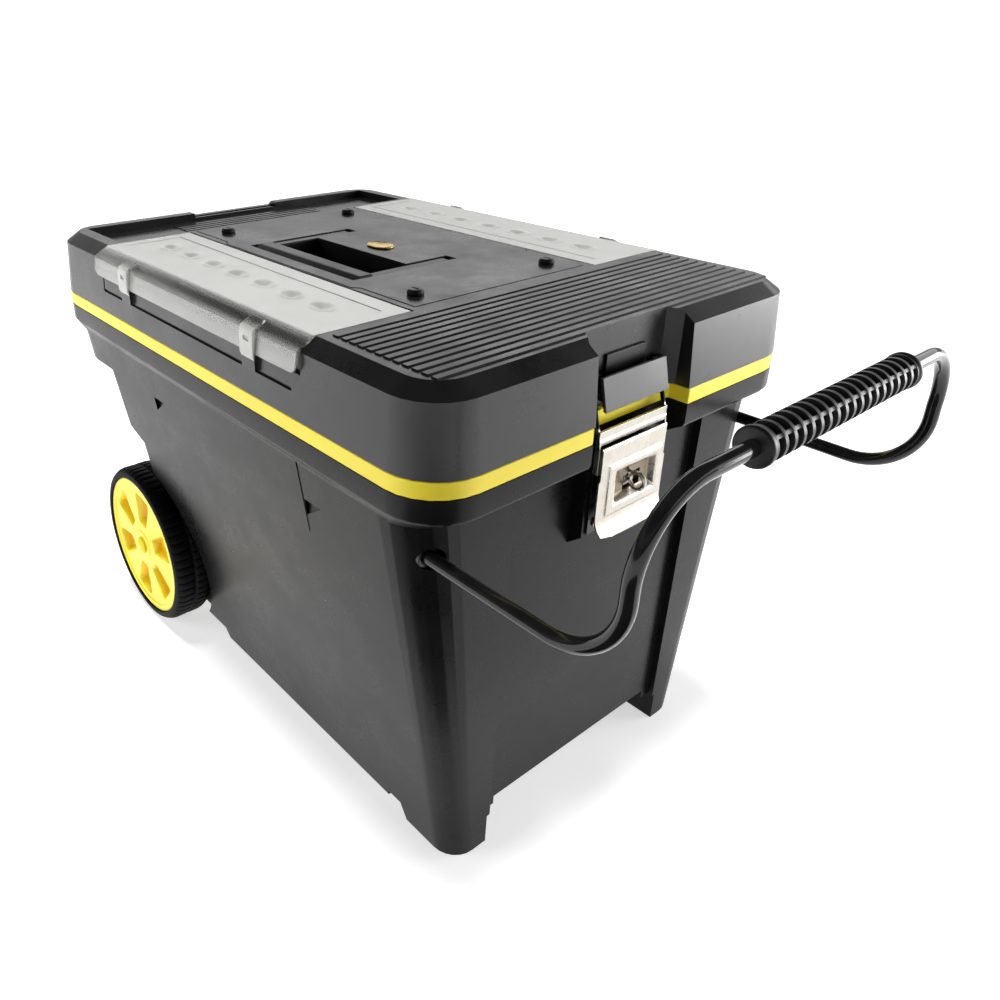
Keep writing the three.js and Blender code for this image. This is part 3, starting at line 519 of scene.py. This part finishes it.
def tube_along(name, line, radius):
    """A round tube along a line of points, without any twist."""
    sides = 28
    path = [Vector(p) for p in line]
    across = Vector((0, 0, 1))
    rings = []
    for i, p in enumerate(path):
        along = (path[min(i + 1, len(path) - 1)] - path[max(i - 1, 0)]).normalized()
        across = (across - along * across.dot(along)).normalized()
        up = along.cross(across)
        rings.append([
            tuple(p + across * (radius * math.cos(t)) + up * (radius * math.sin(t)))
            for t in (2 * math.pi * k / sides for k in range(sides))
        ])
    return loft_rings(name, rings)


half_line = tube_path()
whole_line = half_line + [(x, -y, z) for x, y, z in reversed(half_line)]
stand_for(tube_along("pull_tube_smooth", whole_line, PULL["r"]), "pull_tube")


def grip():
    """A moulded sleeve with four rows of slots between ribs, and a plain collar at each end."""
    r0, half, slots, collar = GRIP["r"], GRIP["half"], GRIP["slots"], GRIP["collar"]
    pitch = 2 * (half - collar) / slots
    around = 96
    row = around // 4
    rib = 4  # plain steps between one row of slots and the next
    deepest, slope = 5.2, 1.6
    end = [(-half, -1.2, 0), (-half + 0.4, -0.3, 0), (-half + 1.2, 0.0, 0), (-half + 3.4, 0.0, 0),
           (-half + 4.2, -0.7, 0)]
    along = list(end)  # (y, drop below the collar, how deep the slot is: 0, 1 or 2)
    for i in range(slots):
        y = -half + collar + i * pitch
        along += [(y, -0.7, 0), (y + 1.4, -0.7, 0), (y + 1.9, -0.9, 1), (y + 2.4, -1.1, 2)]
        along += [(y + pitch - 2.4, -1.1, 2), (y + pitch - 1.9, -0.9, 1), (y + pitch - 1.4, -0.7, 0)]
    along += [(-y, drop, deep) for y, drop, deep in reversed(end)]
    rings = []
    for y, drop, deep in along:
        ring = []
        for k in range(around):
            place = k % row
            edge = min(place - rib, row - 1 - place)
            sink = 0.0
            if deep and edge >= 0:
                sink = deepest if edge >= 1 and deep == 2 else slope
            r = r0 + drop - sink
            t = 2 * math.pi * (k + 9) / around
            ring.append((GRIP["x"] + r * math.cos(t), y, GRIP["z"] + r * math.sin(t)))
        rings.append(ring)
    piece = loft_rings("pull_grip_slotted", rings)
    piece.data.set_sharp_from_angle(angle=math.radians(50))
    return stand_for(piece, "pull_grip")


grip()


# ---- organiser covers -----------------------------------------------------------------------
COVER = {"x0": -178.0, "x1": 158.0, "top": 421.2, "under": 419.1, "lip": 397.0, "corner": 8.0}
DENTS = [-132 + 40.2 * i for i in range(7)]
DENT = {"y": 144.7, "long": 15.0, "wide": 10.0, "deep": 2.4}
SEAM_Y = 118.1
SEAM_HALF = 0.7


def cover(side):
    """A clear lid over the bins: flat top with seven finger dents, a sloping strip and a hanging lip."""
    x0, x1 = COVER["x0"], COVER["x1"]
    ends = (0.5, 1.2, 2.2, 3.4, 4.8, 6.4)
    seam_x = (x0 + 11.8, x0 + 12.1, x0 + 13.3, x0 + 13.6, x1 - 14.2, x1 - 13.9)
    xs = stations(x0, x1, 2.8, tuple(x0 + e for e in ends) + tuple(x1 - e for e in ends) + seam_x)
    flat = stations(102.0, 184.0, 2.0, (117.2, 117.5, 118.7, 119.0))

    def lip_end(x):
        """How far up the lip stops, for its rounded lower corners."""
        inset = COVER["corner"] - min(x - x0, x1 - x, COVER["corner"])
        return COVER["lip"] + COVER["corner"] - math.sqrt(COVER["corner"] ** 2 - inset ** 2)

    def drop(x, y, seam):
        """How far the flat top lies below its own height, in the finger dents and the seal's groove."""
        sunk = 0.0
        for centre in DENTS:
            out = ((x - centre) / DENT["long"]) ** 2 + ((y - DENT["y"]) / DENT["wide"]) ** 2
            if out < 1:
                sunk += DENT["deep"] * (1 - out) ** 2
        along = abs(y - SEAM_Y) < SEAM_HALF and x0 + 12 < x < x1 - 14
        across = x0 + 12 < x < x0 + 13.5 and SEAM_Y < y < 172
        return sunk + (0.6 if seam and (along or across) else 0.0)

    front, back = [], []
    for x in xs:
        low = lip_end(x)
        # the cover's section as (y, z): the flat top, the sloping strip and the lip
        outer = [(y, COVER["top"] - drop(x, y, True)) for y in flat]
        inner = [(y, COVER["under"] - drop(x, y, False)) for y in flat]
        outer += [(185.6, 421.15), (187.2, 420.75), (193.0, 417.4), (198.6, 414.2), (199.5, 413.3)]
        inner += [(185.0, 419.1), (186.0, 418.85), (191.4, 415.9), (196.7, 413.1), (197.4, 412.6)]
        outer.append((199.9, 412.0))
        inner.append((197.7, 411.6))
        for t in (0.15, 0.4, 0.65, 0.85, 0.96, 1.0):
            z = 412.0 + (low - 412.0) * t
            outer.append((199.9 + 1.7 * t - (0.25 if t == 1.0 else 0.0), z))
            inner.append((197.7 + 1.9 * t + (0.25 if t == 1.0 else 0.0), z))
        front.append([(x, side * y, z) for y, z in outer])
        back.append([(x, side * y, z) for y, z in inner])
    name = side_name(side)
    piece = walled_grid("cover_dented_" + name, front, back)
    piece.data.set_sharp_from_angle(angle=math.radians(40))
    stand_for(piece, "cover_" + name)
    seal("cover_seam_long_" + name, side, (x0 + 12.2, x1 - 14.2), (SEAM_Y - 0.55, SEAM_Y + 0.55))
    seal("cover_seam_short_" + name, side, (x0 + 12.2, x0 + 13.2), (SEAM_Y + 0.55, 171.8))


def seal(name, side, xs, ys):
    """A black strip lying in the cover's groove."""
    (xa, xb), (ya, yb) = xs, sorted(side * y for y in ys)
    rings = []
    for z, inset in ((420.45, 0.0), (420.85, 0.0), (420.95, 0.15)):
        rings.append([(xa + inset, ya + inset, z), (xb - inset, ya + inset, z),
                      (xb - inset, yb - inset, z), (xa + inset, yb - inset, z)])
    line = loft_rings(name, rings)
    line.data.materials.append(FINISH["black_plastic"])
    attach(line, BODY_OF["cover_left" if side < 0 else "cover_right"])


for side in (-1, 1):
    cover(side)


# ---- latch lever ----------------------------------------------------------------------------
LEVER = {"half": 38.0, "top": 339.4, "bottom": 267.4, "plate": 286.6, "sheet": 1.4,
         "raised": 1.7, "dish": 4.9, "bow": 3.4}
FRAME_EDGE = (-30.0, 34.0, 283.0, 325.0)
DISH_EDGE = (-22.0, 28.0, 290.0, 320.0)
EYE_HOLE = (-6.0, 14.0, 296.6, 308.6)


def inside_by(edge, y, z):
    """How far inside a rectangle a point is, or below zero outside it."""
    low_y, high_y, low_z, high_z = edge
    return min(y - low_y, high_y - y, z - low_z, high_z - z)


def lever():
    """A pressed plate: raised frame, a dish round the padlock eye, and a flared, bowed lower lip."""
    flare = [(267.4, 5.6), (269.0, 6.3), (272.0, 4.0), (275.0, 1.9), (278.5, 0.7), (282.0, 0.1), (286.0, 0.0),
             (337.8, 0.0), (339.4, -0.6)]  # (height, how far in front of the plate's flat part)
    narrowing = [(262.0, 3.4), (283.0, 0.0), (313.6, 0.0), (315.2, 1.5), (340.0, 1.5)]
    cross = stations(-1.0, 1.0, 0.0245)
    heights = stations(0.0, 1.0, 0.0125)

    def half_at(z):
        return LEVER["half"] - between(narrowing, z)

    def front_x(y, z):
        x = LEVER["plate"] + between(flare, z)
        x += LEVER["raised"] * smooth_step(0.0, 2.2, inside_by(FRAME_EDGE, y, z))
        return x - LEVER["dish"] * smooth_step(0.0, 6.6, inside_by(DISH_EDGE, y, z))

    front, back, places = [], [], []
    for t in heights:
        row_front, row_back, row_place = [], [], []
        for u in cross:
            low = LEVER["bottom"] + LEVER["bow"] * u * u
            z = low + (LEVER["top"] - low) * t
            y = u * half_at(z)
            x = front_x(y, z)
            row_front.append((x, y, z))
            row_back.append((x - LEVER["sheet"], y, z))
            row_place.append((y, z))
        front.append(row_front)
        back.append(row_back)
        places.append(row_place)

    def in_hole(r, c):
        y = (places[r][c][0] + places[r][c + 1][0]) / 2
        z = (places[r][c][1] + places[r + 1][c][1]) / 2
        return inside_by(EYE_HOLE, y, z) > 0

    plate = walled_grid("latch_lever_pressed", front, back, in_hole)
    lugs = []
    for sign in (-1, 1):
        rings = [
            [(x, sign * y, z) for x, z in ((280.2, 318.6), (284.9, 318.2), (286.0, 337.4), (281.0, 337.4))]
            for y in (35.0, 36.4)
        ]
        lugs.append(loft_rings(f"lever_lug_{sign}", rings))
    join(plate, lugs)
    plate.data.set_sharp_from_angle(angle=math.radians(50))
    return stand_for(plate, "latch_lever")


def join(piece, others):
    """Adds the others' meshes to the piece's own and removes them."""
    bm = bmesh.new()
    for each in [piece, *others]:
        bm.from_mesh(each.data)
    bm.to_mesh(piece.data)
    bm.free()
    for each in others:
        bpy.data.objects.remove(each)


lever()


# ---- refined CAD pieces -------------------------------------------------------------------
ROUNDED = {  # node: width of its rounded edges in millimetres, and steps across them
    "chest_tub": (1.6, 3), "lid_shell": (0.9, 2), "seal_band": (0.9, 2), "top_plate": (0.5, 2),
    "carry_handle": (1.3, 3), "latch_keeper": (0.5, 2), "latch_base": (0.3, 2),
    "latch_bail": (0.35, 2), "tool_tray": (0.8, 2),
    "bin_divider_left": (0.3, 1), "bin_divider_right": (0.3, 1),
    "arm_bush_left": (0.6, 2), "arm_bush_right": (0.6, 2),
    "arm_stop_left": (0.6, 2), "arm_stop_right": (0.6, 2),
    "padlock_eye": (0.3, 1),
}
for number in range(1, 5):
    ROUNDED[f"plate_screw_{number}"] = (0.35, 2)
    ROUNDED[f"latch_rivet_{number}"] = (0.5, 2)
for clip in ("left_1", "left_2", "right_1", "right_2"):
    ROUNDED[f"cover_clip_{clip}"] = (0.5, 2)
for cap in ("left", "right"):
    ROUNDED[f"axle_cap_{cap}"] = (0.5, 2)
for node, (width, segments) in ROUNDED.items():
    refine(node, width, segments)


def badge():
    """A low oval badge: raised rim, sunk field and a plain domed centre."""
    steps = 64
    x, y, low = -11.0, 5.0, 421.7
    long, wide = 15, 10.5
    levels = [(1.0, 0.0), (1.0, 1.0), (0.97, 1.35), (0.9, 1.4), (0.86, 1.1), (0.8, 0.9), (0.6, 1.1),
              (0.3, 1.3), (0.02, 1.38)]
    rings = [
        [(x + long * s * math.cos(t), y + wide * s * math.sin(t), low + h)
         for t in (2 * math.pi * k / steps for k in range(steps))]
        for s, h in levels
    ]
    return stand_for(loft_rings("badge_oval", rings), "badge")


badge()

for name, node in frame["nodes"].items():
    if not node.hide_render:
        node.data.materials.clear()
        node.data.materials.append(FINISH[SLOT_OF[name]])


# ---- studio -------------------------------------------------------------------------------
FLOOR_HALF = 14.0  # this and the other sizes of the studio are in metres


def plain(name, colour, rough, shine=0.5, glow=0.0):
    """One even colour, which may shine with white light of its own."""
    material, _, _, shader = new_material(name)
    shader.inputs["Base Color"].default_value = (*colour, 1.0)
    shader.inputs["Roughness"].default_value = rough
    shader.inputs["Specular IOR Level"].default_value = shine
    shader.inputs["Emission Color"].default_value = (1.0, 1.0, 1.0, 1.0)
    shader.inputs["Emission Strength"].default_value = glow
    return material


def floor():
    mesh = bpy.data.meshes.new("floor")
    corners = [(-FLOOR_HALF, -FLOOR_HALF, 0), (FLOOR_HALF, -FLOOR_HALF, 0)]
    corners += [(FLOOR_HALF, FLOOR_HALF, 0), (-FLOOR_HALF, FLOOR_HALF, 0)]
    mesh.from_pydata(corners, [], [(0, 1, 2, 3)])
    mesh.materials.append(plain("paper_floor", (0.86, 0.86, 0.865), 0.8, shine=0.1, glow=0.60))
    plane = add_object("floor", mesh)


def backdrop():
    """A round pale wall far behind everything, for the views near the floor. Only the camera sees it."""
    bm = bmesh.new()
    radius = FLOOR_HALF - 0.5
    height = 12.0
    place = Matrix.Translation((0.0, 0.0, height / 2 - 0.1))
    bmesh.ops.create_cone(
        bm, cap_ends=False, radius1=radius, radius2=radius, depth=height, segments=96, matrix=place)
    mesh = bpy.data.meshes.new("backdrop")
    bm.to_mesh(mesh)
    bm.free()
    mesh.materials.append(plain("paper_wall", grey(0.8), 0.9, glow=1.0))
    wall = add_object("backdrop", mesh)
    wall.visible_diffuse = False
    wall.visible_glossy = False
    wall.visible_transmission = False
    wall.visible_shadow = False


def dark_card():
    """A black round card on the floor below the camera, for the dark line in rounded corners.
    The camera sees it in reflections only."""
    bm = bmesh.new()
    place = Matrix.Translation((0.60, -0.56, 0.002))
    bmesh.ops.create_circle(bm, cap_ends=True, radius=0.46, segments=48, matrix=place)
    mesh = bpy.data.meshes.new("dark_card")
    bm.to_mesh(mesh)
    bm.free()
    mesh.materials.append(plain("card_black", grey(0.004), 0.9))
    card = add_object("dark_card", mesh)
    card.visible_camera = False
    card.visible_shadow = False


def softbox(name, place, target, size, power, shiny=True):
    """A rectangular lamp turned to a target. The shiny kind shows in reflections."""
    data = bpy.data.lights.new(name, "AREA")
    data.shape = "RECTANGLE"
    data.size, data.size_y = size
    data.energy = power
    lamp = add_object(name, data)
    lamp.location = place
    lamp.visible_camera = False
    lamp.visible_glossy = shiny
    lamp.rotation_euler = (Vector(target) - Vector(place)).to_track_quat("-Z", "Y").to_euler()


def sky_light(name, direction, strength, spread):
    """An even overhead light with soft shadows, from a wide disc high above."""
    data = bpy.data.lights.new(name, "SUN")
    data.energy = strength
    data.angle = math.radians(spread)
    lamp = add_object(name, data)
    lamp.rotation_euler = Vector(direction).to_track_quat("Z", "Y").to_euler()
    lamp.visible_glossy = False


def world():
    """A dark room with a pale band round its far side, which shows in the chest's shiny tops."""
    sky = bpy.data.worlds.new("studio")
    bpy.context.scene.world = sky
    sky.use_nodes = True
    nodes, links = sky.node_tree.nodes, sky.node_tree.links
    background = nodes["Background"]
    where = nodes.new("ShaderNodeTexCoord")
    split = nodes.new("ShaderNodeSeparateXYZ")
    links.new(where.outputs["Generated"], split.inputs["Vector"])
    height = ramp(nodes, links, split.outputs["Z"], [
        (0.035, grey(0.58)), (0.06, grey(0.08)), (0.205, grey(0.12)), (0.255, grey(1.0)),
        (0.40, grey(0.90)), (0.50, grey(0.015)), (1.0, grey(0.008))])
    side = span(nodes, links, split.outputs["Y"], 0.12, 1.0, -0.12, 0.12)
    shade = nodes.new("ShaderNodeVectorMath")
    shade.operation = "SCALE"
    links.new(height, shade.inputs["Vector"])
    links.new(side, shade.inputs["Scale"])
    links.new(shade.outputs["Vector"], background.inputs["Color"])
    background.inputs["Strength"].default_value = 2.0


floor()
backdrop()
world()
sky_light("overhead", (-0.06, -0.04, 1.0), 2.4, 12.0)
softbox("left_fill", (-1.3, -2.4, 1.1), (0.0, 0.0, 0.2), (1.4, 1.2), 32.0, shiny=False)
softbox("right_panel", (1.5, 2.4, 0.5), (0.2, 0.1, 0.3), (1.4, 1.0), 52.0)
dark_card()


def camera():
    """The main view, from above the chest's left front corner."""
    data = bpy.data.cameras.new("camera")
    data.lens = 31.38
    data.sensor_width = 36.0
    data.shift_x = 0.120
    data.shift_y = -0.073
    data.clip_start = 0.01
    lens = add_object("camera", data)
    back = Vector((0.7115, -0.5639, 0.4195)).normalized()
    right = Vector((0, 0, 1)).cross(back).normalized()
    up = back.cross(right)
    roll = math.radians(-0.4)
    turn = Matrix.Rotation(roll, 4, back)
    axes = Matrix((right, up, back)).transposed().to_4x4()
    lens.matrix_world = Matrix.Translation((0.5502, -0.4900, 0.6062)) @ turn @ axes
    bpy.context.scene.camera = lens


camera()
bpy.context.scene.view_settings.view_transform = "Standard"
